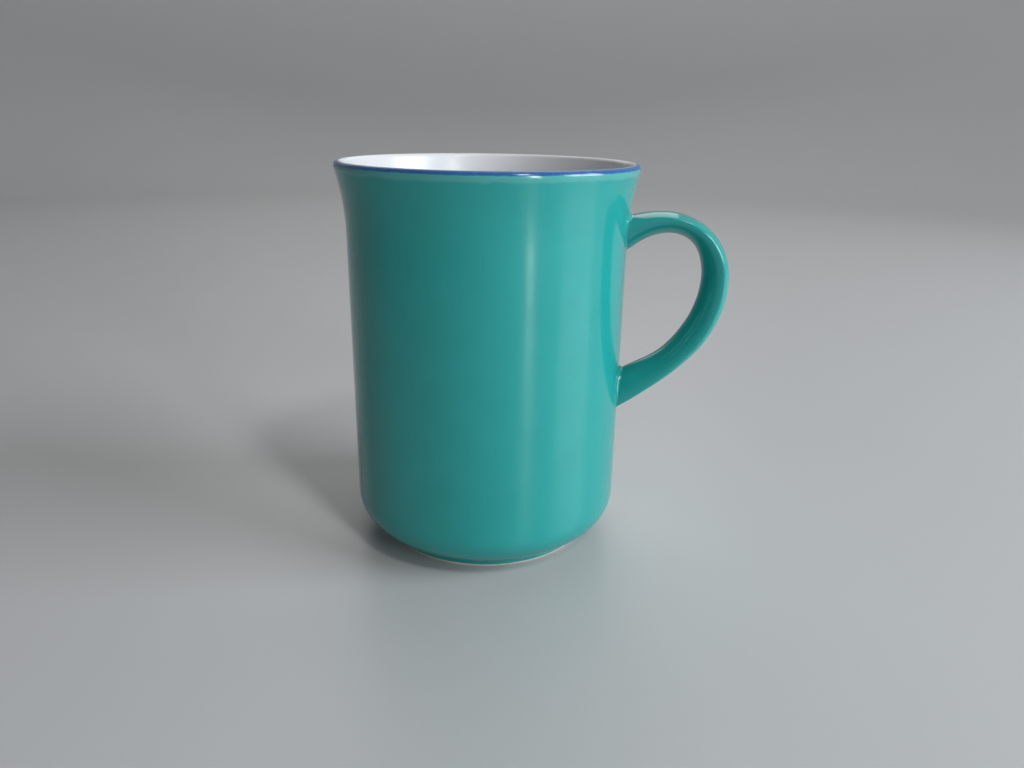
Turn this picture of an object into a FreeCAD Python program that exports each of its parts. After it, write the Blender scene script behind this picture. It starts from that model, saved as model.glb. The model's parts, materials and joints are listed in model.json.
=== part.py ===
"""A ceramic mug: a cast clay cup with a flared lip and a foot ring, an ear handle luted on with slip,
and the coats of glaze that cover them. Millimetres, +Z up, the cup's axis on Z, the handle towards +X,
and the origin at the middle of the foot ring, on the surface that the mug stands on."""

import FreeCAD, Part
import Sketcher
import math
import os
import re

doc = FreeCAD.newDocument("CeramicMug")

# ---------------------------------------------------------------- driving sizes
# Radii and heights of the cup are those of the glazed surface; the clay lies one glaze_thickness below it.
driving_sizes = [
    ("cup_height", 105.0, "table to the top of the lip"),
    ("wall_radius", 37.7, "outside of the straight wall"),
    ("rim_overhang", 2.4, "how far the lip stands out beyond the wall"),
    ("flare_height", 17.0, "height over which the wall turns outwards"),
    ("lip_thickness", 2.6, "full thickness at the rounded lip"),
    ("wall_thickness", 3.5, "full thickness of the straight wall"),
    ("floor_thickness", 5.4, "full thickness of the floor"),
    ("inside_rounding", 9.0, "radius between the inside floor and wall"),
    ("lower_rounding", 10.0, "radius of the rounded-in lower edge"),
    ("base_gap", 2.5, "lowest point of that rounding above the table"),
    ("foot_inset", 7.8, "how far the foot ring is set in from the wall"),
    ("foot_width", 3.6, "width of the foot ring"),
    ("foot_bevel", 0.5, "bevel on both edges of the foot ring"),
    ("foot_bare", 0.9, "height of bare clay left at the foot"),
    ("recess_level", 2.2, "glazed underside of the floor above the table"),
    ("glaze_thickness", 0.35, "every coat of glaze"),
    ("handle_stand", 23.8, "wall to the middle of the strap, where the handle stands farthest out"),
    ("handle_drop", 28.5, "depth of that place below the top of the lip"),
    ("strap_thickness", 6.4, "across the strap, in the plane of the handle"),
    ("strap_width", 12.0, "along the strap's broad face"),
    ("strap_edge_radius", 2.3, "rounding of the strap's narrow sides"),
    ("shoulder_radius", 13.7, "bend from the widest place up to the top"),
    ("top_arc_radius", 28.0, "gentle arc from the top down to the upper root"),
    ("lower_bend_radius", 28.0, "bend below the widest place"),
    ("lower_bend_turn", 40.0, "angle of that bend, in degrees"),
    ("limb_radius", 100.0, "slow arc of the lower limb down to its root"),
    ("root_overrun", 5.5, "how far the strap is drawn into the cup before it is trimmed"),
    ("slip_thickness", 1.1, "seam of slip between the cup and the handle"),
    ("slip_spread", 0.9, "how far the slip is squeezed out round the strap"),
]
sizes = doc.addObject("Spreadsheet::Sheet", "Sizes")
for row, (alias, number, note) in enumerate(driving_sizes, start=1):
    sizes.set(f"A{row}", note)
    sizes.set(f"B{row}", str(number))
    sizes.setAlias(f"B{row}", alias)
doc.recompute()
size_names = re.compile(r"\b(" + "|".join(alias for alias, number, note in driving_sizes) + r")\b")


def bound(expression):
    """The expression with every size looked up in the spreadsheet."""
    return size_names.sub(r"Sizes.\1", expression)


def value(expression):
    """What the expression comes to now."""
    result = sizes.evalExpression(bound(expression))
    return float(getattr(result, "Value", result))


# ---------------------------------------------------------------- sizes that follow from the driving ones
# The outside of the flare is an arc that leaves the wall upright; its centre lies outside the cup.
flare_radius = "((flare_height^2 + rim_overhang^2) / (2 * rim_overhang))"
lean_sin = f"(flare_height / {flare_radius})"
lean_cos = f"sqrt(1 - {lean_sin}^2)"
flare_centre_x = f"(wall_radius + {flare_radius})"
flare_level = f"(cup_height - lip_thickness / 2 - ({flare_radius} + lip_thickness / 2) * {lean_sin})"

# The lip is a half circle across the wall's end, and the coats change where it faces half upwards.
lip_x = f"({flare_centre_x} - ({flare_radius} + lip_thickness / 2) * {lean_cos})"
lip_level = "(cup_height - lip_thickness / 2)"
half_turn_share = "sqrt(0.5)"

# The inside flare starts lower than the outside one, so that it meets the lip at the same lean.
inner_wall = "(wall_radius - wall_thickness)"
lip_inner_x = f"({flare_centre_x} - ({flare_radius} + lip_thickness) * {lean_cos})"
lip_inner_level = f"({flare_level} + ({flare_radius} + lip_thickness) * {lean_sin})"
inner_flare_radius = f"(({lip_inner_x} - {inner_wall}) / (1 - {lean_cos}))"
inner_flare_level = f"({lip_inner_level} - {inner_flare_radius} * {lean_sin})"

rounding_x = "(wall_radius - lower_rounding)"
rounding_level = "(base_gap + lower_rounding)"
foot_outer = "(wall_radius - foot_inset)"
foot_inner = f"({foot_outer} - foot_width)"
foot_clay_side = f"({foot_outer} - glaze_thickness)"
floor_level = "(recess_level + floor_thickness)"

# The widest place of the handle is carried by the wall and hangs from the lip.
handle_reach = "(wall_radius + handle_stand)"
widest_level = "(cup_height - handle_drop)"
root_end_x = "(wall_radius - root_overrun)"

# The strap's section is an oval of four arcs: two crowned faces and two narrow sides.
half_thickness = "(strap_thickness / 2)"
half_width = "(strap_width / 2)"
crown_radius = (
    f"(({half_thickness}^2 + {half_width}^2 - 2 * {half_width} * strap_edge_radius)"
    f" / (2 * ({half_thickness} - strap_edge_radius)))"
)


# ---------------------------------------------------------------- drawing tools
def origin_plane(body, role):
    """One of the body's own origin planes, such as XZ_Plane."""
    return next(plane for plane in body.Origin.OriginFeatures if plane.Role == role)


def new_body(label):
    body = doc.addObject("PartDesign::Body", label)
    body.Label = label
    body.Placement = FreeCAD.Placement()
    return body


def new_sketch(body, name, role, offset=None):
    """A sketch on an origin plane; offset is an expression for its distance from that plane."""
    sketch = body.newObject("Sketcher::SketchObject", name)
    sketch.AttachmentSupport = [(origin_plane(body, role), "")]
    sketch.MapMode = "FlatFace"
    if offset:
        sketch.setExpression("AttachmentOffset.Base.z", bound(offset))
    return sketch


def pin(sketch, geometry, end, x, y):
    """Fixes the end of a line or arc at (x, y), each bound to its expression."""
    for kind, axis, expression in (("DistanceX", -2, x), ("DistanceY", -1, y)):
        if expression == "0":
            sketch.addConstraint(Sketcher.Constraint("PointOnObject", geometry, end, axis))
        else:
            index = sketch.addConstraint(Sketcher.Constraint(kind, geometry, end, value(expression)))
            sketch.setExpression(f"Constraints[{index}]", bound(expression))


def draw(sketch, start, steps, closed=True):
    """Draws lines and arcs one after another from start. A step is (x, y) for a line, and
    (x, y, radius, "left" or "right") for an arc of less than half a turn that bends that way."""
    begin_end = []
    here = (value(start[0]), value(start[1]))
    for step in steps:
        there = (value(step[0]), value(step[1]))
        if len(step) == 2:
            line = Part.LineSegment(FreeCAD.Vector(*here, 0), FreeCAD.Vector(*there, 0))
            begin_end.append((sketch.addGeometry(line), 1, 2))
        else:
            radius = value(step[2])
            chord = math.dist(here, there)
            rise = math.sqrt(radius**2 - chord**2 / 4)
            side = 1 if step[3] == "left" else -1
            along = ((there[0] - here[0]) / chord, (there[1] - here[1]) / chord)
            centre_x = (here[0] + there[0]) / 2 - side * rise * along[1]
            centre_y = (here[1] + there[1]) / 2 + side * rise * along[0]
            first, last = (here, there) if side == 1 else (there, here)
            first_angle = math.atan2(first[1] - centre_y, first[0] - centre_x)
            last_angle = math.atan2(last[1] - centre_y, last[0] - centre_x)
            circle = Part.Circle(FreeCAD.Vector(centre_x, centre_y, 0), FreeCAD.Vector(0, 0, 1), radius)
            arc = sketch.addGeometry(Part.ArcOfCircle(circle, first_angle, last_angle))
            begin_end.append((arc, 1, 2) if side == 1 else (arc, 2, 1))
            index = sketch.addConstraint(Sketcher.Constraint("Radius", arc, radius))
            sketch.setExpression(f"Constraints[{index}]", bound(step[2]))
        pin(sketch, begin_end[-1][0], begin_end[-1][2], step[0], step[1])
        here = there
    for before, after in zip(begin_end, begin_end[1:]):
        joint = Sketcher.Constraint("Coincident", before[0], before[2], after[0], after[1])
        sketch.addConstraint(joint)
    if closed:
        joint = Sketcher.Constraint("Coincident", begin_end[-1][0], begin_end[-1][2], begin_end[0][0], 1)
        sketch.addConstraint(joint)
    else:
        pin(sketch, begin_end[0][0], begin_end[0][1], start[0], start[1])


def turned(label, start, steps):
    """A body turned round the cup's axis from an outline in the XZ plane, which starts with a line."""
    body = new_body(label)
    sketch = new_sketch(body, label + "_outline", "XZ_Plane")
    draw(sketch, start, steps)
    turn = body.newObject("PartDesign::Revolution", label + "_turned")
    turn.Profile = sketch
    turn.ReferenceAxis = (sketch, ["V_Axis"])
    turn.Angle = 360
    return body


def boolean(kind, label, base, tool):
    result = doc.addObject(kind, label)
    result.Label = label
    result.Base = base
    result.Tool = tool
    return result


def cut(label, base, tool):
    return boolean("Part::Cut", label, base, tool)


def common(label, base, tool):
    return boolean("Part::Common", label, base, tool)


def fuse(label, base, tool):
    return boolean("Part::Fuse", label, base, tool)


# ---------------------------------------------------------------- points of the cup's outline
# Each function gives a point at a depth below the glazed surface.
def wall_foot(depth):
    """Bottom of the straight outside wall."""
    return (f"wall_radius - {depth}", rounding_level)


def wall_top(depth):
    """Top of the straight outside wall, where the flare begins."""
    return (f"wall_radius - {depth}", flare_level)


def flare_end(depth):
    """Where the outside flare meets the lip."""
    radius = f"({flare_radius} + {depth})"
    return (f"{flare_centre_x} - {radius} * {lean_cos}", f"{flare_level} + {radius} * {lean_sin}")


def lip_change(depth):
    """Where the lip faces half upwards and the coats change."""
    radius = f"(lip_thickness / 2 - {depth})"
    return (f"{lip_x} + {radius} * {half_turn_share}", f"{lip_level} + {radius} * {half_turn_share}")


def lip_inner_end(depth):
    """Where the lip meets the inside flare."""
    radius = f"({flare_radius} + lip_thickness - {depth})"
    return (f"{flare_centre_x} - {radius} * {lean_cos}", f"{flare_level} + {radius} * {lean_sin}")


def inner_wall_top(depth):
    return (f"{inner_wall} + {depth}", inner_flare_level)


def inner_wall_foot(depth):
    return (f"{inner_wall} + {depth}", f"{floor_level} + inside_rounding")


def floor_edge(depth):
    return (f"{inner_wall} - inside_rounding", f"{floor_level} - {depth}")


def foot_top(depth):
    """Where the rounded-in lower edge meets the side of the foot ring."""
    drop = f"sqrt((lower_rounding - {depth})^2 - ({foot_outer} - {depth} - {rounding_x})^2)"
    return (f"{foot_outer} - {depth}", f"{rounding_level} - {drop}")


def outside_arc(point, depth, turn):
    return point + (f"{flare_radius} + {depth}", turn)


def lip_arc(point, depth, turn):
    return point + (f"lip_thickness / 2 - {depth}", turn)


def inside_arc(point, depth, turn):
    return point + (f"{inner_flare_radius} - {depth}", turn)


def floor_arc(point, depth, turn):
    return point + (f"inside_rounding + {depth}", turn)


def rounding_arc(point, depth, turn):
    return point + (f"lower_rounding - {depth}", turn)


# The two depths that are drawn: the top of the glaze, and the clay under it.
surface = "0"
clay = "glaze_thickness"


# ---------------------------------------------------------------- the cup
def make_cup_body():
    """The fired clay of the cup, with its bare foot ring."""
    clay_ceiling = "recess_level + glaze_thickness"
    return turned("cup_body", ("0", clay_ceiling), [
        (foot_inner, clay_ceiling),
        (foot_inner, "foot_bevel"),
        (f"{foot_inner} + foot_bevel", "0"),
        (f"{foot_clay_side} - foot_bevel", "0"),
        (foot_clay_side, "foot_bevel"),
        foot_top(clay),
        rounding_arc(wall_foot(clay), clay, "left"),
        wall_top(clay),
        outside_arc(flare_end(clay), clay, "right"),
        lip_arc(lip_change(clay), clay, "left"),
        lip_arc(lip_inner_end(clay), clay, "left"),
        inside_arc(inner_wall_top(clay), clay, "left"),
        inner_wall_foot(clay),
        floor_arc(floor_edge(clay), clay, "right"),
        ("0", f"{floor_level} - glaze_thickness"),
        ("0", clay_ceiling),
    ])


def make_outer_coat():
    """The teal coat of the outside, from the bare foot to the lip, still whole where the handle stands."""
    return turned("outer_coat", (foot_clay_side, "foot_bare"), [
        (foot_outer, "foot_bare"),
        foot_top(surface),
        rounding_arc(wall_foot(surface), surface, "left"),
        wall_top(surface),
        outside_arc(flare_end(surface), surface, "right"),
        flare_end(clay),
        outside_arc(wall_top(clay), clay, "left"),
        wall_foot(clay),
        rounding_arc(foot_top(clay), clay, "right"),
        (foot_clay_side, "foot_bare"),
    ])


def make_rim_line():
    """The cobalt line on the outer shoulder of the lip."""
    return turned("rim_line", flare_end(clay), [
        flare_end(surface),
        lip_arc(lip_change(surface), surface, "left"),
        lip_change(clay),
        lip_arc(flare_end(clay), clay, "right"),
    ])


def make_inner_glaze():
    """The white coat: over the top of the lip, down the inside and across the floor."""
    return turned("inner_glaze", ("0", f"{floor_level} - glaze_thickness"), [
        floor_edge(clay),
        floor_arc(inner_wall_foot(clay), clay, "left"),
        inner_wall_top(clay),
        inside_arc(lip_inner_end(clay), clay, "right"),
        lip_arc(lip_change(clay), clay, "right"),
        lip_change(surface),
        lip_arc(lip_inner_end(surface), surface, "left"),
        inside_arc(inner_wall_top(surface), surface, "left"),
        inner_wall_foot(surface),
        floor_arc(floor_edge(surface), surface, "right"),
        ("0", floor_level),
        ("0", f"{floor_level} - glaze_thickness"),
    ])


def make_underside_glaze():
    """The coat in the recess under the floor, inside the foot ring."""
    return turned("underside_glaze", ("0", "recess_level"), [
        (foot_inner, "recess_level"),
        (foot_inner, "recess_level + glaze_thickness"),
        ("0", "recess_level + glaze_thickness"),
        ("0", "recess_level"),
    ])


def make_seat(label, growth):
    """A solid plug with the cup's outside shape, grown by so much, which trims the handle's pieces."""
    grown_radius = f"({flare_radius} - ({growth}))"
    top_x = f"{flare_centre_x} - {grown_radius} * {lean_cos}"
    top_level = f"{flare_level} + {grown_radius} * {lean_sin}"
    return turned(label, ("0", rounding_level), [
        (f"wall_radius + {growth}", rounding_level),
        (f"wall_radius + {growth}", flare_level),
        (top_x, top_level, grown_radius, "right"),
        ("0", top_level),
        ("0", rounding_level),
    ])


# ---------------------------------------------------------------- the handle
def draw_strap_section(sketch, growth):
    """The oval of the strap where the handle stands farthest out, grown by so much all round."""
    edge_centre = f"({half_width} - strap_edge_radius)"
    centres_apart = f"({crown_radius} - strap_edge_radius)"
    edge_grown = f"(strap_edge_radius + {growth})"
    meet_x = f"({edge_grown} * ({crown_radius} - {half_thickness}) / {centres_apart})"
    meet_y = f"({edge_centre} + {edge_grown} * {edge_centre} / {centres_apart})"
    crown_grown = f"{crown_radius} + {growth}"
    outer_x = f"{handle_reach} + {meet_x}"
    inner_x = f"{handle_reach} - {meet_x}"
    draw(sketch, (outer_x, f"-{meet_y}"), [
        (outer_x, meet_y, crown_grown, "left"),
        (inner_x, meet_y, edge_grown, "left"),
        (inner_x, f"-{meet_y}", crown_grown, "left"),
        (outer_x, f"-{meet_y}", edge_grown, "left"),
    ])


def draw_upper_path(sketch):
    """Up round the shoulder to the handle's top, then down to inside the cup's wall."""
    top_x = f"({handle_reach} - shoulder_radius)"
    top_level = f"({widest_level} + shoulder_radius)"
    end_level = f"{top_level} - top_arc_radius + sqrt(top_arc_radius^2 - ({top_x} - {root_end_x})^2)"
    draw(sketch, (handle_reach, widest_level), [
        (top_x, top_level, "shoulder_radius", "left"),
        (root_end_x, end_level, "top_arc_radius", "left"),
    ], closed=False)


def draw_lower_path(sketch):
    """Down round the lower bend, then along the slow arc of the limb to inside the cup's wall."""
    turn_cos = "cos(lower_bend_turn * 1deg)"
    turn_sin = "sin(lower_bend_turn * 1deg)"
    bend_x = f"({handle_reach} - lower_bend_radius * (1 - {turn_cos}))"
    bend_level = f"({widest_level} - lower_bend_radius * {turn_sin})"
    limb_centre_x = f"({bend_x} - limb_radius * {turn_cos})"
    limb_centre_level = f"({bend_level} + limb_radius * {turn_sin})"
    end_level = f"{limb_centre_level} - sqrt(limb_radius^2 - ({root_end_x} - {limb_centre_x})^2)"
    draw(sketch, (handle_reach, widest_level), [
        (bend_x, bend_level, "lower_bend_radius", "right"),
        (root_end_x, end_level, "limb_radius", "right"),
    ], closed=False)


def make_strap(label, growth):
    """The whole strap, from inside the cup's wall round to inside it again, grown by so much all round."""
    body = new_body(label)
    for limb, draw_path in (("upper", draw_upper_path), ("lower", draw_lower_path)):
        section = new_sketch(body, f"{label}_{limb}_section", "XY_Plane", widest_level)
        draw_strap_section(section, growth)
        path = new_sketch(body, f"{label}_{limb}_path", "XZ_Plane")
        draw_path(path)
        pipe = body.newObject("PartDesign::AdditivePipe", f"{label}_{limb}_limb")
        pipe.Profile = section
        pipe.Spine = (path, ["Edge1", "Edge2"])
    return body


def make_root_room(label, bottom):
    """A box from the cup's axis outwards that holds one root of the handle, above the given level."""
    half_room = "2 * strap_width"
    box = doc.addObject("Part::Box", label)
    box.Label = label
    box.setExpression("Length", bound(handle_reach))
    box.setExpression("Width", bound(f"2 * {half_room}"))
    box.setExpression("Height", bound(widest_level))
    box.setExpression("Placement.Base.y", bound(f"-{half_room}"))
    box.setExpression("Placement.Base.z", bound(bottom))
    return box


cup_body = make_cup_body()
rim_line = make_rim_line()
inner_glaze = make_inner_glaze()
underside_glaze = make_underside_glaze()
outer_coat = make_outer_coat()

clay_seat = make_seat("clay_seat", "-glaze_thickness")
glaze_seat = make_seat("glaze_seat", "0")
slip_seat = make_seat("slip_seat", "(slip_thickness - glaze_thickness)")
collar_seat = make_seat("collar_seat", "slip_thickness")

strap_clay = make_strap("strap_clay", "0")
strap_slip = make_strap("strap_slip", "slip_spread")
strap_glazed = make_strap("strap_glazed", "glaze_thickness")
strap_collar = make_strap("strap_collar", "(slip_spread + glaze_thickness)")

# The clay handle ends one seam of slip away from the cup.
handle_core = cut("handle_core", strap_clay, slip_seat)

# The two seams fill that gap and stand out round the strap.
slip_outside = common("slip_outside", strap_slip, slip_seat)
slip_seams = cut("slip_seams", slip_outside, clay_seat)
upper_slip_joint = common("upper_slip_joint", slip_seams, make_root_room("upper_room", widest_level))
lower_slip_joint = common("lower_slip_joint", slip_seams, make_root_room("lower_room", "0"))

# The cup's teal coat is open where the seams stand on the clay.
outer_glaze = cut("outer_glaze", outer_coat, strap_slip)

# The handle's teal coat covers the clay and, as a collar at each root, the slip.
collars = common("collars", strap_collar, collar_seat)
coat_outside = fuse("coat_outside", strap_glazed, collars)
coat_over_cup = cut("coat_over_cup", coat_outside, glaze_seat)
coat_over_slip = cut("coat_over_slip", coat_over_cup, slip_seams)
handle_glaze = cut("handle_glaze", coat_over_slip, handle_core)

doc.recompute()

# ---------------------------------------------------------------- check and write
pieces = [
    cup_body,
    handle_core,
    upper_slip_joint,
    lower_slip_joint,
    outer_glaze,
    handle_glaze,
    rim_line,
    inner_glaze,
    underside_glaze,
]
for item in doc.Objects:
    if "Invalid" in item.State or "Error" in item.State:
        raise RuntimeError(f"{item.Label} was not built: {item.State}")
for piece in pieces:
    if piece.Shape.isNull() or not piece.Shape.isValid() or len(piece.Shape.Solids) != 1:
        raise RuntimeError(f"{piece.Label} is not one valid solid")

os.makedirs("parts", exist_ok=True)
for piece in pieces:
    piece.Shape.exportStep(f"parts/{piece.Label}.step")
    box = piece.Shape.optimalBoundingBox()
    print(f"{piece.Label}: {piece.Shape.Volume:.1f} mm3, z from {box.ZMin:.2f} to {box.ZMax:.2f}")
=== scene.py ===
import json
from math import asin, atan2, ceil, cos, degrees, hypot, inf, radians, sin, sqrt

import bpy
from mathutils import Matrix, Vector


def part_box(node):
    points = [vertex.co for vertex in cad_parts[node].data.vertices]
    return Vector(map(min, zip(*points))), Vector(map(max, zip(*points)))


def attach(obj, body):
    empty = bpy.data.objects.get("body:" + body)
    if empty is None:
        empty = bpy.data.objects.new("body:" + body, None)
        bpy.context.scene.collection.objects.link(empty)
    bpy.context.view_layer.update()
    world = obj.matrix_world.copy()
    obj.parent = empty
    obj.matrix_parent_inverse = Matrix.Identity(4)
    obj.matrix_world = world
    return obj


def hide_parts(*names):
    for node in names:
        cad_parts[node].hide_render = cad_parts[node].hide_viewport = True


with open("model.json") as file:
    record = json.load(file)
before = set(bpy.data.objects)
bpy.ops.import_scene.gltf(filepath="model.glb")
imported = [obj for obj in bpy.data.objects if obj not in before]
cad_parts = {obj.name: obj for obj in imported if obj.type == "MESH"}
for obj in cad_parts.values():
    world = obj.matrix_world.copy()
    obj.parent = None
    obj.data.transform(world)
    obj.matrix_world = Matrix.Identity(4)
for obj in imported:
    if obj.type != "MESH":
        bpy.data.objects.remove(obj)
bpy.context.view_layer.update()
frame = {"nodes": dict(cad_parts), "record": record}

mm = 0.001
allSlots = [entry["slot"] for entry in frame["record"]["materials"]]
print("frame loaded, material slots:", ", ".join(allSlots))


# camera: where it stands and how it is held
cameraPlace = {
    "distance": 214.2 * mm,  # along the floor from the cup's axis
    "height": 116.9 * mm,
    "azimuth": 10.0,  # degrees round from the front, towards the handle
    "lookDown": 19.13,
    "lookAside": 1.96,
    "tilt": 0.95,
    "lens": 27.42,
    "sensor": 36,
    "nearest": 0.01,
    "farthest": 30,
}


def setCamera(place):
    data = bpy.data.cameras.new("studioCamera")
    data.lens = place["lens"]
    data.sensor_width = place["sensor"]
    data.clip_start = place["nearest"]
    data.clip_end = place["farthest"]
    camera = bpy.data.objects.new("studioCamera", data)
    bpy.context.scene.collection.objects.link(camera)
    around = radians(place["azimuth"])
    away = place["distance"]
    camera.location = (away * sin(around), -away * cos(around), place["height"])
    heading = Matrix.Rotation(around - radians(place["lookAside"]), 4, "Z")
    pitch = Matrix.Rotation(radians(90 - place["lookDown"]), 4, "X")
    roll = Matrix.Rotation(radians(place["tilt"]), 4, "Z")
    camera.rotation_euler = (heading @ pitch @ roll).to_euler()
    bpy.context.scene.camera = camera


setCamera(cameraPlace)
print("camera set")


# drawing tools: outlines are drawn point by point, then turned round the cup's axis
drawing = {
    "spacing": 1.5 * mm,  # between the points of an outline's arcs
    "fewestSteps": 6,  # in an arc, however small
    "widestStep": 6,  # degrees between the points of an arc
    "wheelSteps": 256,
    "weld": 0.002 * mm,
    "sharpFrom": 50,  # degrees; softer edges are shaded smooth
}


def startPoint(name, place):
    bpy.ops.object.select_all(action="DESELECT")
    bpy.ops.mesh.primitive_plane_add(size=mm)
    piece = bpy.context.object
    piece.name = name
    piece.data.name = name
    bpy.ops.object.mode_set(mode="EDIT")
    bpy.ops.mesh.select_all(action="SELECT")
    bpy.ops.mesh.merge(type="CENTER")
    bpy.ops.transform.translate(value=place)
    return piece


def swing(place, centre, turn, axis):  # where a point lands after an arc
    arm = Vector(place) - Vector(centre)
    return Vector(centre) + Matrix.Rotation(-radians(turn), 3, Vector(axis)) @ arm


def drawArc(here, centre, turn, axis, spacing):
    size = abs(radians(turn)) * (Vector(here) - Vector(centre)).length
    steps = max(drawing["fewestSteps"], ceil(size / spacing), ceil(abs(turn) / drawing["widestStep"]))
    bpy.ops.mesh.spin(steps=steps, angle=radians(turn), center=centre, axis=axis)
    return swing(here, centre, turn, axis)


def drawOutline(name, start, moves, spacing=drawing["spacing"]):
    here = Vector((start[0], 0, start[1]))
    piece = startPoint(name, here)
    for move in moves:
        goal = Vector((move[0], 0, move[1]))
        if len(move) == 3:  # an arc round that centre, anticlockwise when its turn is positive
            here = drawArc(here, goal, move[2], (0, 1, 0), spacing)
        else:
            bpy.ops.mesh.extrude_region_move(TRANSFORM_OT_translate={"value": goal - here})
            here = goal
    return piece


def turnOnWheel(piece, steps=drawing["wheelSteps"]):
    bpy.ops.mesh.select_all(action="SELECT")
    bpy.ops.mesh.spin(steps=steps, angle=radians(360), center=(0, 0, 0), axis=(0, 0, 1))
    bpy.ops.mesh.select_all(action="SELECT")
    bpy.ops.mesh.remove_doubles(threshold=drawing["weld"])
    bpy.ops.mesh.normals_make_consistent(inside=False)
    bpy.ops.object.mode_set(mode="OBJECT")
    smoothOver(piece)


def smoothOver(piece):
    bpy.ops.object.select_all(action="DESELECT")
    piece.select_set(True)
    bpy.context.view_layer.objects.active = piece
    bpy.ops.object.shade_smooth_by_angle(angle=radians(drawing["sharpFrom"]))


# the cup's own sizes; levels and radii that the frame has are read from it
cup = {
    "wallRadius": 37.7 * mm,
    "lipRadius": 1.3 * mm,  # half the rim's thickness
    "wallThickness": 3.5 * mm,
    "coat": 0.35 * mm,
    "insideRounding": 9.0 * mm,
    "lowerRounding": 10.0 * mm,
    "baseGap": 2.5 * mm,
    "footRadius": 29.9 * mm,
    "footPool": 0.8 * mm,  # glaze gathered in the corner above the foot
    "recessPool": 1.0 * mm,  # and in the corner of the recess below
    "wallRings": (25 * mm, 50 * mm),  # rings of points on the straight wall, above its lower edge
    "whiteFrom": 45.0,  # degrees up the lip's rounding
}
coat = cup["coat"]
lipLow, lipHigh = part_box("rim_line")
insideLow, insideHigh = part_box("inner_glaze")
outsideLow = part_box("outer_glaze")[0]
underLow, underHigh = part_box("underside_glaze")

lipRadius = cup["lipRadius"]
lipX = lipHigh.x - lipRadius
lipZ = insideHigh.z - lipRadius
lean = asin((lipZ - lipLow.z) / lipRadius)  # how far the flare leans out at the rim
wallRadius = cup["wallRadius"]
flareRadius = (lipX + lipRadius * cos(lean) - wallRadius) / (1 - cos(lean))
flareX = wallRadius + flareRadius
flareZ = lipLow.z - flareRadius * sin(lean)
innerRadius = wallRadius - cup["wallThickness"]
innerFlare = (lipX - lipRadius * cos(lean) - innerRadius) / (1 - cos(lean))
innerFlareX = innerRadius + innerFlare
innerFlareZ = lipZ + lipRadius * sin(lean) - innerFlare * sin(lean)
leanTurn = degrees(lean)
whiteFrom = cup["whiteFrom"]


def onCircle(x, z, radius, angle):
    return (x + radius * cos(radians(angle)), z + radius * sin(radians(angle)))


def makeWallGlaze():
    rounding = cup["lowerRounding"]
    pool = cup["footPool"]
    foot = cup["footRadius"]
    roundX = wallRadius - rounding
    roundZ = cup["baseGap"] + rounding
    bead = coat / 2
    beadZ = outsideLow.z + bead
    poolX = foot + pool
    poolZ = roundZ - sqrt((rounding + pool) ** 2 - (poolX - roundX) ** 2)
    poolTurn = degrees(atan2(roundZ - poolZ, poolX - roundX))  # the pool's slope, from the rounding
    clayFoot = foot - coat
    clayDrop = sqrt((rounding - coat) ** 2 - (clayFoot - roundX) ** 2)
    clayTurn = degrees(atan2(clayDrop, clayFoot - roundX))
    moves = [
        (foot - bead, beadZ, 180),
        (foot, poolZ),
        (poolX, poolZ, -poolTurn),
        (roundX, roundZ, poolTurn),
        *[(wallRadius, roundZ + height) for height in cup["wallRings"]],
        (wallRadius, flareZ),
        (flareX, flareZ, -leanTurn),
        onCircle(flareX, flareZ, flareRadius + coat, 180 - leanTurn),
        (flareX, flareZ, leanTurn),
        (wallRadius - coat, roundZ),
        (roundX, roundZ, -clayTurn),
        (clayFoot, beadZ),
    ]
    return drawOutline("wallGlaze", (clayFoot, beadZ), moves)


def makeLipLine():
    low = onCircle(lipX, lipZ, lipRadius - coat, -leanTurn)
    shoulderTurn = leanTurn + whiteFrom  # from the flare's end to where the white begins
    moves = [
        onCircle(lipX, lipZ, lipRadius, -leanTurn),
        (lipX, lipZ, shoulderTurn),
        onCircle(lipX, lipZ, lipRadius - coat, whiteFrom),
        (lipX, lipZ, -shoulderTurn),
    ]
    return drawOutline("lipLine", low, moves)


def makeInnerGlaze():
    floorZ = insideLow.z + coat
    corner = cup["insideRounding"]
    cornerX = innerRadius - corner
    cornerZ = floorZ + corner
    overLip = 180 - whiteFrom - leanTurn
    moves = [
        (cornerX, insideLow.z),
        (cornerX, cornerZ, 90),
        (innerRadius + coat, innerFlareZ),
        (innerFlareX, innerFlareZ, -leanTurn),
        (lipX, lipZ, -overLip),
        onCircle(lipX, lipZ, lipRadius, whiteFrom),
        (lipX, lipZ, overLip),
        (innerFlareX, innerFlareZ, leanTurn),
        (innerRadius, cornerZ),
        (cornerX, cornerZ, -90),
        (0, floorZ),
    ]
    return drawOutline("innerGlaze", (0, insideLow.z), moves)


def makeUndersideGlaze():
    edge = underHigh.x
    pool = cup["recessPool"]
    moves = [
        (edge, underHigh.z),
        (edge, underLow.z - pool),
        (edge - pool, underLow.z - pool, 90),
        (0, underLow.z),
    ]
    return drawOutline("undersideGlaze", (0, underHigh.z), moves)


def turned(makePiece):
    piece = makePiece()
    turnOnWheel(piece)
    return piece


wallGlaze = turned(makeWallGlaze)
lipLine = turned(makeLipLine)
innerGlaze = turned(makeInnerGlaze)
undersideGlaze = turned(makeUndersideGlaze)
print("cup turned:", len(wallGlaze.data.polygons), "faces on the wall")


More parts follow.
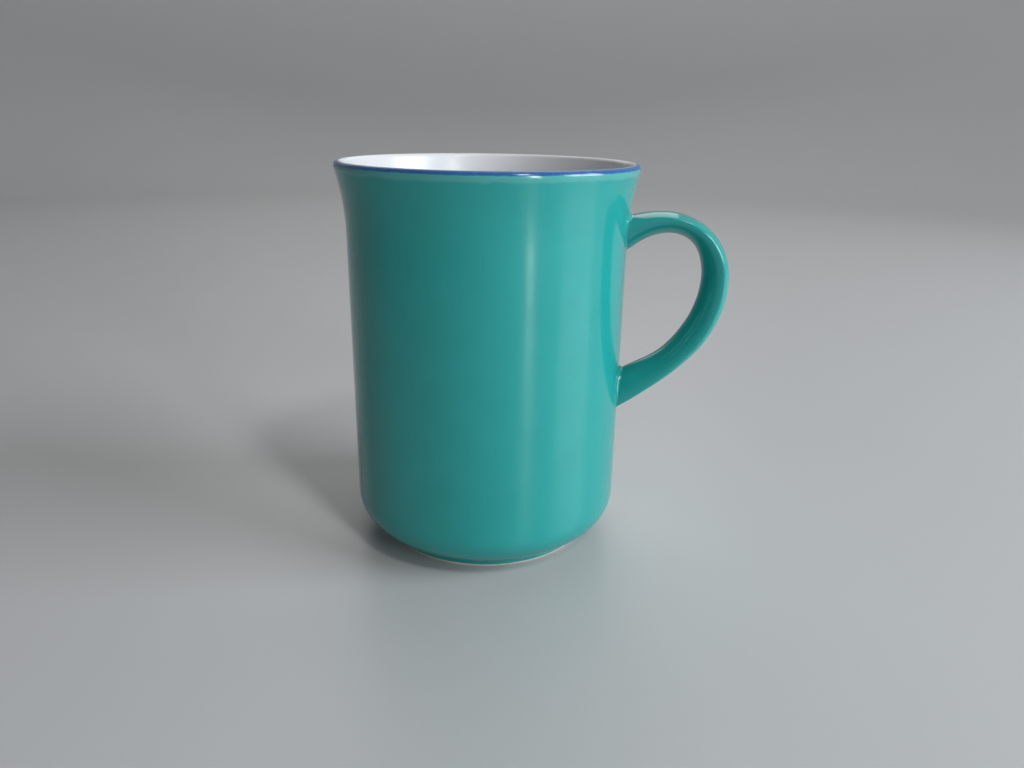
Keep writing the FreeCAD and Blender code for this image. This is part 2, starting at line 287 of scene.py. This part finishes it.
# the handle: an oval drawn once, swung along four arcs and filled out, its roots rolled into
# the wall
strap = {
    "clayHalf": 3.2 * mm,
    "halfThickness": 3.25 * mm,  # of the oval as it is drawn
    "edgeRadius": 1.6 * mm,
    "crest": 2.05 * mm,  # how far outside its middle the strap is widest
    "crestDepth": 2.0 * mm,  # of that widest line, below the outermost glaze
    "shoulder": 15.75 * mm,
    "topArc": 30.05 * mm,
    "lowerBend": 30.05 * mm,
    "lowerTurn": 40.0,
    "limb": 80.0 * mm,
    "ovalSpacing": 0.5 * mm,  # between points round the oval
    "shoulderSpacing": 0.7 * mm,  # between rings
    "limbSpacing": 0.8 * mm,
    "rootRounding": 0.8 * mm,
    "rootSteps": 8,
    "rootClear": 2.0 * mm,  # between the last ring of the strap and the wall
    "rootRoom": 8.6 * mm,  # and that much more where the strap meets it aslant
    "rootReach": 40,  # degrees of swing that are searched for the wall
    "rootHalvings": 40,
    "swingStep": 0.05,  # degrees
    "earlyRings": 9,
    "ringStep": 0.05 * mm,  # apart, as they are first extruded
    "sunk": 0.25 * mm,
    "gapMiddle": (47.6 * mm, 73.0 * mm),
    # how far the strap's two faces stand from its middle line, at angles round the finger gap
    "fullness": (
        (-120, 7.90, 2.15),
        (-100, 6.90, 1.60),
        (-80, 4.95, 2.10),
        (-50, 5.20, 2.25),
        (0, 5.30, 2.10),
        (30, 5.10, 1.70),
        (60, 4.05, 1.35),
        (80, 4.15, 1.15),
        (100, 4.95, 1.15),
        (125, 7.10, 1.20),
    ),
}
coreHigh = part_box("handle_core")[1]
halfThickness = strap["halfThickness"]
halfWidth = coreHigh.y + coat
reach = coreHigh.x + coat - strap["crestDepth"]
widestZ = coreHigh.z - strap["clayHalf"] + strap["crest"] - strap["shoulder"]
edgeY = halfWidth - strap["edgeRadius"]
flatter = halfThickness - strap["edgeRadius"]
crownApart = (edgeY ** 2 - flatter ** 2) / (2 * flatter)
crownRadius = halfThickness + crownApart
crownTurn = degrees(atan2(edgeY, crownApart))  # half of a crowned face, seen from its centre


def wallGap(point):  # distance out from the cup's glazed wall, and the wall's direction there
    out = hypot(point.x, point.y)
    if point.z < flareZ:
        return out - wallRadius, Vector((point.x / out, point.y / out, 0))
    toX, toZ = flareX - out, flareZ - point.z
    far = hypot(toX, toZ)
    way = Vector((point.x / out * toX / far, point.y / out * toX / far, toZ / far))
    return flareRadius - far, way


def ovalNormal(u, v):  # outward direction of the oval at a place on it
    if abs(v) > crownRadius * sin(radians(crownTurn)):
        return Vector((u, v - (edgeY if v > 0 else -edgeY))).normalized()
    return Vector((u + (crownApart if u > 0 else -crownApart), v)).normalized()


def turnedBy(vector, angle):  # in the handle's plane, anticlockwise
    return Matrix.Rotation(-angle, 3, "Y") @ vector


def smoothCurve(stations, at, column):  # a soft line through the stations' values
    last = len(stations) - 1
    spot = 0
    while spot < last - 1 and at > stations[spot + 1][0]:
        spot += 1
    start, end = stations[spot], stations[spot + 1]
    before, after = stations[max(spot - 1, 0)], stations[min(spot + 2, last)]
    span = end[0] - start[0]
    share = min(max((at - start[0]) / span, 0), 1)
    slopeIn = (end[column] - before[column]) / (end[0] - before[0]) * span
    slopeOut = (after[column] - start[column]) / (after[0] - start[0]) * span
    square, cube = share ** 2, share ** 3
    return (
        start[column] * (2 * cube - 3 * square + 1)
        + slopeIn * (cube - 2 * square + share)
        + end[column] * (3 * square - 2 * cube)
        + slopeOut * (cube - square)
    )


def fullnessAt(place, outside):  # how much wider than drawn the strap is there
    middleX, middleZ = strap["gapMiddle"]
    at = degrees(atan2(place.z - middleZ, place.x - middleX))
    return smoothCurve(strap["fullness"], at, 2 if outside else 1) * mm / halfThickness


def filledOut(place, arcCentre, radius):
    arm = Vector((place.x - arcCentre.x, 0, place.z - arcCentre.z))
    u = arm.length - radius
    line = arcCentre + arm.normalized() * radius
    stretch = fullnessAt(line, u > 0)
    return arcCentre + arm.normalized() * (radius + u * stretch) + Vector((0, place.y, 0))


def turnTowardsWall(start, arcCentre, way):  # how far the strap swings before its root begins
    turn = 0.0
    room = inf
    while room > strap["rootClear"]:
        turn += way * strap["swingStep"]
        place = swing(start, arcCentre, turn, (0, 1, 0))
        slope = (place - arcCentre).normalized()
        room = wallGap(place)[0] - strap["rootRoom"] * abs(slope.x)
    return turn


def settleRoot(piece, ringCentre, arcCentre, way, along):
    # a ball rolls round the joint between strap and wall, and the last rings lie on its path
    size = strap["rootRounding"]
    radius = (ringCentre - arcCentre).length
    outward = (ringCentre - arcCentre).normalized()
    early = strap["earlyRings"]
    for vertex in piece.data.vertices:
        place = vertex.co.copy()
        row = round((place - ringCentre).dot(along) / strap["ringStep"])
        if row < 1 or (place - ringCentre).length > 2 * halfWidth:
            continue
        u = (place - ringCentre).dot(outward)
        u /= fullnessAt(ringCentre, u > 0)
        v = place.y
        facing = ovalNormal(u, v)

        def strapAt(angle):
            drawn = arcCentre + turnedBy(outward * (radius + u), angle) + Vector((0, v, 0))
            return filledOut(drawn, arcCentre, radius)

        def facingAt(angle):
            line = arcCentre + turnedBy(outward * radius, angle)
            stretch = fullnessAt(line, u > 0)
            way = turnedBy(outward * facing.x, angle) / stretch + Vector((0, facing.y, 0))
            return way.normalized()

        near, far = 0.0, radians(strap["rootReach"])
        for halving in range(strap["rootHalvings"]):
            middle = (near + far) / 2
            gap = wallGap(strapAt(way * middle) + facingAt(way * middle) * size)[0]
            if gap > size:
                near = middle
            else:
                far = middle
        contact = way * near
        ball = strapAt(contact) + facingAt(contact) * size
        wallWay = wallGap(ball)[1]
        if row <= early:
            vertex.co = strapAt(contact * row / early)
        elif row <= early + strap["rootSteps"]:
            share = (row - early) / strap["rootSteps"]
            vertex.co = ball + (-facingAt(contact)).slerp(-wallWay, share) * size
        else:
            vertex.co = ball - wallWay * (size + strap["sunk"])


def makeHandle():
    here = Vector((reach, 0, widestZ))
    sideways = crownRadius * sin(radians(crownTurn))
    forward = crownRadius * cos(radians(crownTurn)) - crownApart
    pen = here + Vector((forward, -sideways, 0))
    piece = startPoint("earHandle", pen)
    edgeTurn = 180 - 2 * crownTurn
    for centreX, centreY, turn in (
        (-crownApart, 0, 2 * crownTurn),
        (0, edgeY, edgeTurn),
        (crownApart, 0, 2 * crownTurn),
        (0, -edgeY, edgeTurn),
    ):
        centre = here + Vector((centreX, centreY, 0))
        pen = drawArc(pen, centre, turn, (0, 0, -1), strap["ovalSpacing"])
    bpy.ops.mesh.select_all(action="SELECT")
    bpy.ops.mesh.remove_doubles(threshold=drawing["weld"])
    bpy.ops.object.mode_set(mode="OBJECT")  # numbers the vertices afresh
    bpy.ops.object.mode_set(mode="EDIT")
    bpy.ops.mesh.select_all(action="SELECT")

    shoulderCentre = here - Vector((strap["shoulder"], 0, 0))
    bendCentre = here - Vector((strap["lowerBend"], 0, 0))
    front = (0, 1, 0)
    hair = 0.001 * mm  # a distance that counts as none

    def onFirstOval(place):
        return abs(place.z - widestZ) < hair and place.x > bendCentre.x

    # the border's direction points from the first arc's part of the strap to the second's
    def fillOut(low, high, firstCentre, firstRadius, secondCentre, secondRadius, border):
        for vertex in piece.data.vertices:
            if low < vertex.co.z < high:
                inFirst = (vertex.co - firstCentre).dot(border) < hair
                arcCentre = firstCentre if inFirst else secondCentre
                radius = firstRadius if inFirst else secondRadius
                vertex.co = filledOut(vertex.co, arcCentre, radius)

    def addRoot(place, arcCentre, way):
        along = turnedBy((place - arcCentre).normalized(), way * radians(90))
        ring = {"value": along * strap["ringStep"]}
        bpy.ops.object.mode_set(mode="EDIT")
        for row in range(strap["rootSteps"] + strap["earlyRings"] + 1):
            bpy.ops.mesh.extrude_region_move(TRANSFORM_OT_translate=ring)
        bpy.ops.mesh.edge_face_add()  # closes the end, which stays under the cup's glaze
        bpy.ops.object.mode_set(mode="OBJECT")
        settleRoot(piece, place, arcCentre, way, along)

    top = drawArc(here, shoulderCentre, 90, front, strap["shoulderSpacing"])
    topCentre = top - Vector((0, 0, strap["topArc"]))
    turn = turnTowardsWall(top, topCentre, 1)
    end = drawArc(top, topCentre, turn, front, strap["limbSpacing"])
    bpy.ops.object.mode_set(mode="OBJECT")
    border = Vector((-1, 0, 0))
    fillOut(widestZ + hair, inf, shoulderCentre, strap["shoulder"], topCentre, strap["topArc"], border)
    addRoot(end, topCentre, 1)

    bpy.ops.object.mode_set(mode="EDIT")
    bpy.ops.mesh.select_all(action="DESELECT")
    bpy.ops.object.mode_set(mode="OBJECT")
    for vertex in piece.data.vertices:  # the first oval again, for the way down
        vertex.select = onFirstOval(vertex.co)
    bpy.ops.object.mode_set(mode="EDIT")
    low = drawArc(here, bendCentre, -strap["lowerTurn"], front, strap["limbSpacing"])
    limbCentre = low + (bendCentre - low).normalized() * strap["limb"]
    turn = turnTowardsWall(low, limbCentre, -1)
    end = drawArc(low, limbCentre, turn, front, strap["limbSpacing"])
    bpy.ops.object.mode_set(mode="OBJECT")
    border = turnedBy((low - bendCentre).normalized(), radians(-90))
    fillOut(-inf, widestZ - hair, bendCentre, strap["lowerBend"], limbCentre, strap["limb"], border)
    addRoot(end, limbCentre, -1)
    for vertex in piece.data.vertices:
        if onFirstOval(vertex.co):
            vertex.co = filledOut(vertex.co, bendCentre, strap["lowerBend"])

    bpy.ops.object.mode_set(mode="EDIT")
    bpy.ops.mesh.select_all(action="SELECT")
    bpy.ops.mesh.normals_make_consistent(inside=False)
    bpy.ops.object.mode_set(mode="OBJECT")
    smoothOver(piece)
    return piece


earHandle = makeHandle()
print("handle drawn:", len(earHandle.data.polygons), "faces")


# glaze recipes: + - * on wires add the Math nodes
class Wire:
    def __init__(self, recipe, socket):
        self.recipe = recipe
        self.socket = socket

    def maths(self, operation, first, second):
        return self.recipe.node("ShaderNodeMath", {"operation": operation}, {0: first, 1: second})

    def __add__(self, other):
        return self.maths("ADD", self, other)

    def __radd__(self, other):
        return self.maths("ADD", other, self)

    def __sub__(self, other):
        return self.maths("SUBTRACT", self, other)

    def __rsub__(self, other):
        return self.maths("SUBTRACT", other, self)

    def __mul__(self, other):
        return self.maths("MULTIPLY", self, other)

    def __rmul__(self, other):
        return self.maths("MULTIPLY", other, self)


class Recipe:
    def __init__(self, name):
        self.material = bpy.data.materials.new(name)
        self.material.use_nodes = True
        self.nodes = self.material.node_tree.nodes
        self.links = self.material.node_tree.links
        self.nodes.clear()
        self.place = self.node("ShaderNodeTexCoord", output="Object")
        self.height = self.node("ShaderNodeSeparateXYZ", sockets={0: self.place}, output="Z")

    def node(self, kind, settings=None, sockets=None, output=0):
        made = self.nodes.new(kind)
        for name, value in (settings or {}).items():
            setattr(made, name, value)
        for key, value in (sockets or {}).items():
            if isinstance(value, Wire):
                self.links.new(value.socket, made.inputs[key])
            else:
                made.inputs[key].default_value = value
        return Wire(self, made.outputs[output]) if len(made.outputs) else made

    def noise(self, size, detail, roughness=0.5):
        sockets = {"Vector": self.place, "Scale": 1 / size, "Detail": detail, "Roughness": roughness}
        return self.node("ShaderNodeTexNoise", {"normalize": True}, sockets)

    def waver(self, pattern, width):  # an uneven shift to either side, as a hand makes it
        return (self.noise(*pattern) - 0.5) * width

    def shine(self, gloss, waver):
        return gloss + self.noise(*firing["shine"]) * waver

    def peel(self, depth):
        uneven = self.noise(*firing["peel"]) * firing["peelShare"] + self.noise(*firing["swell"])
        return self.bump(uneven, depth)

    def step(self, value, low, high):  # 0 below low, 1 above high
        sockets = {"Value": value, "From Min": low, "From Max": high}
        return self.node("ShaderNodeMapRange", {"interpolation_type": "SMOOTHSTEP"}, sockets)

    def mix(self, share, first, second):
        sockets = {0: share, 6: first, 7: second}
        return self.node("ShaderNodeMix", {"data_type": "RGBA"}, sockets, 2)

    def bump(self, height, depth):
        return self.node("ShaderNodeBump", sockets={"Strength": 1.0, "Distance": depth, "Height": height})

    def finish(self, sockets):
        shader = self.node("ShaderNodeBsdfPrincipled", sockets=sockets, output="BSDF")
        self.node("ShaderNodeOutputMaterial", sockets={"Surface": shader})
        return self.material


def colour(red, green, blue):
    return (red, green, blue, 1.0)


# a pattern is given by the size of its features, its detail and, if need be, its roughness
firing = {
    "shine": (0.7 * mm, 2),
    "peel": (1.6 * mm, 2),
    "peelShare": 0.35,
    "swell": (14 * mm, 1),  # the broad unevenness under the peel
}
teal = {
    "body": colour(0.012, 0.272, 0.256),
    "cloud": colour(0.018, 0.305, 0.292),
    "pale": colour(0.130, 0.420, 0.390),  # a paler band under the line
    "floorShade": colour(0.010, 0.200, 0.180),  # painted shade, low on the cup towards the floor
    "clouds": (9 * mm, 3),
    "paleBandShare": 0.45,  # how far the pale colour shows there
    "paleBandBelow": 1.2 * mm,  # from the line's lower edge
    "paleBandFade": 0.9 * mm,
    "waver": (5 * mm, 3),
    "waverWidth": 1.3 * mm,
    "floorShadeShare": 0.5,  # how far the painted shade shows
    "floorShadeFade": (2 * mm, 9 * mm),  # the painted shade fades out between these heights
    "gloss": 0.10,
    "glossWaver": 0.03,
    "bending": 1.5,  # of light in the glaze
    "peelDepth": 0.05 * mm,
}
cobalt = {
    "line": colour(0.014, 0.066, 0.220),
    "faint": colour(0.045, 0.150, 0.360),
    "brush": (1.5 * mm, 2),
    "waver": (2.2 * mm, 2),
    "lowFade": (0.55 * mm, 0.85 * mm),  # above the line's lower edge
    "lowWaverWidth": 0.35 * mm,
    "topFade": (-0.25 * mm, 0.15 * mm),  # outwards from the middle of the lip
    "topWaverWidth": 0.3 * mm,
    "gloss": 0.1,
    "glossWaver": 0.04,
}
white = {
    "body": colour(0.660, 0.660, 0.675),
    "cloud": colour(0.630, 0.631, 0.642),
    "clouds": (12 * mm, 3),
    "gloss": 0.26,
    "glossWaver": 0.04,
    "peelDepth": 0.04 * mm,
}
bareClay = {
    "body": colour(0.640, 0.600, 0.540),
    "grain": colour(0.480, 0.430, 0.370),
    "grains": (0.35 * mm, 4, 0.65),
    "speckFade": (0.45, 0.7),
    "gloss": 0.7,
    "glossWaver": 0.25,
    "depth": 0.08 * mm,
}


def makeTealGlaze():
    made = Recipe("tealGlaze")
    base = made.mix(made.noise(*teal["clouds"]), teal["body"], teal["cloud"])
    # a paler band just under the line, with an uneven lower edge
    paleBandFrom = lipLow.z - teal["paleBandBelow"]
    unevenHeight = made.height + made.waver(teal["waver"], teal["waverWidth"])
    paleBand = made.step(unevenHeight, paleBandFrom, paleBandFrom + teal["paleBandFade"])
    base = made.mix(paleBand * teal["paleBandShare"], base, teal["pale"])
    # painted shade: the glaze is darkened low on the cup, towards the floor
    low = 1 - made.step(made.height, *teal["floorShadeFade"])
    base = made.mix(low * teal["floorShadeShare"], base, teal["floorShade"])
    sockets = {
        "Base Color": base,
        "Roughness": made.shine(teal["gloss"], teal["glossWaver"]),
        "IOR": teal["bending"],
        "Normal": made.peel(teal["peelDepth"]),
    }
    return made.finish(sockets)


def brushedBlue(made):
    return made.mix(made.noise(*cobalt["brush"]), cobalt["line"], cobalt["faint"])


def makeCobaltGlaze():
    made = Recipe("cobaltGlaze")
    unevenHeight = made.height + made.waver(cobalt["waver"], cobalt["lowWaverWidth"])
    fadeStart, fadeEnd = cobalt["lowFade"]
    brushed = made.step(unevenHeight, lipLow.z + fadeStart, lipLow.z + fadeEnd)
    # the paler band's colour also lies under the line's lower edge
    share = teal["paleBandShare"]
    under = [full * (1 - share) + pale * share for full, pale in zip(teal["body"], teal["pale"])]
    sockets = {
        "Base Color": made.mix(brushed, under, brushedBlue(made)),
        "Roughness": made.shine(cobalt["gloss"], cobalt["glossWaver"]),
    }
    return made.finish(sockets)


def makeWhiteGlaze():
    made = Recipe("whiteGlaze")
    base = made.mix(made.noise(*white["clouds"]), white["body"], white["cloud"])
    flat = made.node("ShaderNodeVectorMath", {"operation": "MULTIPLY"}, {0: made.place, 1: (1, 1, 0)})
    fromAxis = made.node("ShaderNodeVectorMath", {"operation": "LENGTH"}, {0: flat}, 1)
    unevenRadius = fromAxis + made.waver(cobalt["waver"], cobalt["topWaverWidth"])
    fadeStart, fadeEnd = cobalt["topFade"]
    brushed = made.step(unevenRadius, lipX + fadeStart, lipX + fadeEnd)
    sockets = {
        "Base Color": made.mix(brushed, base, brushedBlue(made)),
        "Roughness": made.shine(white["gloss"], white["glossWaver"]),
        "Normal": made.peel(white["peelDepth"]),
    }
    return made.finish(sockets)


def makeBareClay(name):
    made = Recipe(name)
    grain = made.noise(*bareClay["grains"])
    specks = made.step(grain, *bareClay["speckFade"])
    sockets = {
        "Base Color": made.mix(specks, bareClay["body"], bareClay["grain"]),
        "Roughness": bareClay["gloss"] + grain * bareClay["glossWaver"],
        "Normal": made.bump(grain, bareClay["depth"]),
    }
    return made.finish(sockets)


def dress(piece, material):
    piece.data.materials.clear()
    piece.data.materials.append(material)


tealGlaze = makeTealGlaze()
for piece in (wallGlaze, earHandle, undersideGlaze):
    dress(piece, tealGlaze)
dress(lipLine, makeCobaltGlaze())
dress(innerGlaze, makeWhiteGlaze())
clayFinish = makeBareClay("bareClay")
slipFinish = makeBareClay("bareSlip")
for node, finish in (
    ("cup_body", clayFinish),
    ("handle_core", clayFinish),
    ("upper_slip_joint", slipFinish),
    ("lower_slip_joint", slipFinish),
):
    dress(frame["nodes"][node], finish)
print("glazes mixed")


# floor and lights
studio = {
    "floorRadius": 1.0,
    "curveRadius": 0.6,
    "wallTop": 1.8,
    "spacing": 0.05,  # between points on the curve
    "wheelSteps": 96,
    "paleGrey": colour(0.46, 0.46, 0.465),
    "deeperGrey": colour(0.41, 0.41, 0.415),
    "patches": (60 * mm, 2),
    "patchShare": 0.2,
    "gloss": 0.36,
    "glossWaver": 0.05,
    "glossPattern": (20 * mm, 2),
    "sky": colour(0.60, 0.60, 0.62),
    "skyStrength": 0.03,
}
cupMiddle = (0, 0, 0.05)
lights = {
    "windowStrip": {
        "azimuth": 43,
        "elevation": 14,
        "distance": 0.9,
        "width": 0.10,
        "height": 0.6,
        "power": 3.4,
        "tint": (0.92, 0.97, 1.0),
        "aim": cupMiddle,
    },
    "sideWindow": {
        "azimuth": 85,
        "elevation": 24,
        "distance": 1.1,
        "width": 0.6,
        "height": 0.6,
        "power": 11.5,
        "tint": (0.87, 0.95, 1.0),
        "aim": cupMiddle,
    },
    "overhead": {
        "azimuth": 44,
        "elevation": 54,
        "distance": 1.4,
        "width": 0.16,
        "height": 0.22,
        "power": 4,
        "tint": (1.0, 0.98, 0.95),
        "aim": cupMiddle,
    },
    "backFill": {
        "azimuth": 192,
        "elevation": 40,
        "distance": 1.1,
        "width": 0.9,
        "height": 0.9,
        "power": 2.6,
        "tint": (1.0, 0.98, 0.96),
        "aim": cupMiddle,
    },
    "backWash": {
        "azimuth": 20,
        "elevation": 50,
        "distance": 1.55,
        "width": 1.4,
        "height": 0.9,
        "power": 5,
        "tint": (1.0, 0.98, 0.96),
        "aim": (0, 1.6, 0.35),  # the wall behind
    },
}


def makeCove():  # a pale floor that curves up into a round wall
    floorRadius, curveRadius = studio["floorRadius"], studio["curveRadius"]
    wallX = floorRadius + curveRadius
    moves = [
        (floorRadius, 0),
        (floorRadius, curveRadius, 90),
        (wallX, studio["wallTop"]),
    ]
    cove = drawOutline("studioCove", (0, 0), moves, studio["spacing"])
    turnOnWheel(cove, studio["wheelSteps"])
    made = Recipe("paleGround")
    patches = made.noise(*studio["patches"]) * studio["patchShare"]
    sockets = {
        "Base Color": made.mix(patches, studio["paleGrey"], studio["deeperGrey"]),
        "Roughness": studio["gloss"] + made.noise(*studio["glossPattern"]) * studio["glossWaver"],
    }
    dress(cove, made.finish(sockets))


def makeLight(name, plan):  # azimuth is degrees round from the front, towards the handle
    data = bpy.data.lights.new(name, "AREA")
    data.shape = "RECTANGLE"
    data.size = plan["width"]
    data.size_y = plan["height"]
    data.energy = plan["power"]
    data.color = plan["tint"]
    light = bpy.data.objects.new(name, data)
    bpy.context.scene.collection.objects.link(light)
    around, up = radians(plan["azimuth"]), radians(plan["elevation"])
    way = Vector((sin(around) * cos(up), -cos(around) * cos(up), sin(up)))
    light.location = Vector(plan["aim"]) + way * plan["distance"]
    light.rotation_euler = (-way).to_track_quat("-Z", "Y").to_euler()
    light.visible_camera = False


def makeRoom():
    world = bpy.data.worlds.new("studioRoom")
    world.use_nodes = True
    background = world.node_tree.nodes["Background"]
    background.inputs["Color"].default_value = studio["sky"]
    background.inputs["Strength"].default_value = studio["skyStrength"]
    bpy.context.scene.world = world


makeCove()
makeRoom()
for name, plan in lights.items():
    makeLight(name, plan)
bpy.context.scene.view_settings.view_transform = "Standard"
print("studio lit")

# the new pieces hang from the root body; the frame's glaze, handle and slip joint parts are hidden
for piece in (wallGlaze, lipLine, innerGlaze, undersideGlaze, earHandle):
    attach(piece, "root")
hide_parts("outer_glaze")
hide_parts("rim_line")
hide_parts("inner_glaze")
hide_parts("underside_glaze")
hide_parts("handle_core", "handle_glaze", "upper_slip_joint", "lower_slip_joint")
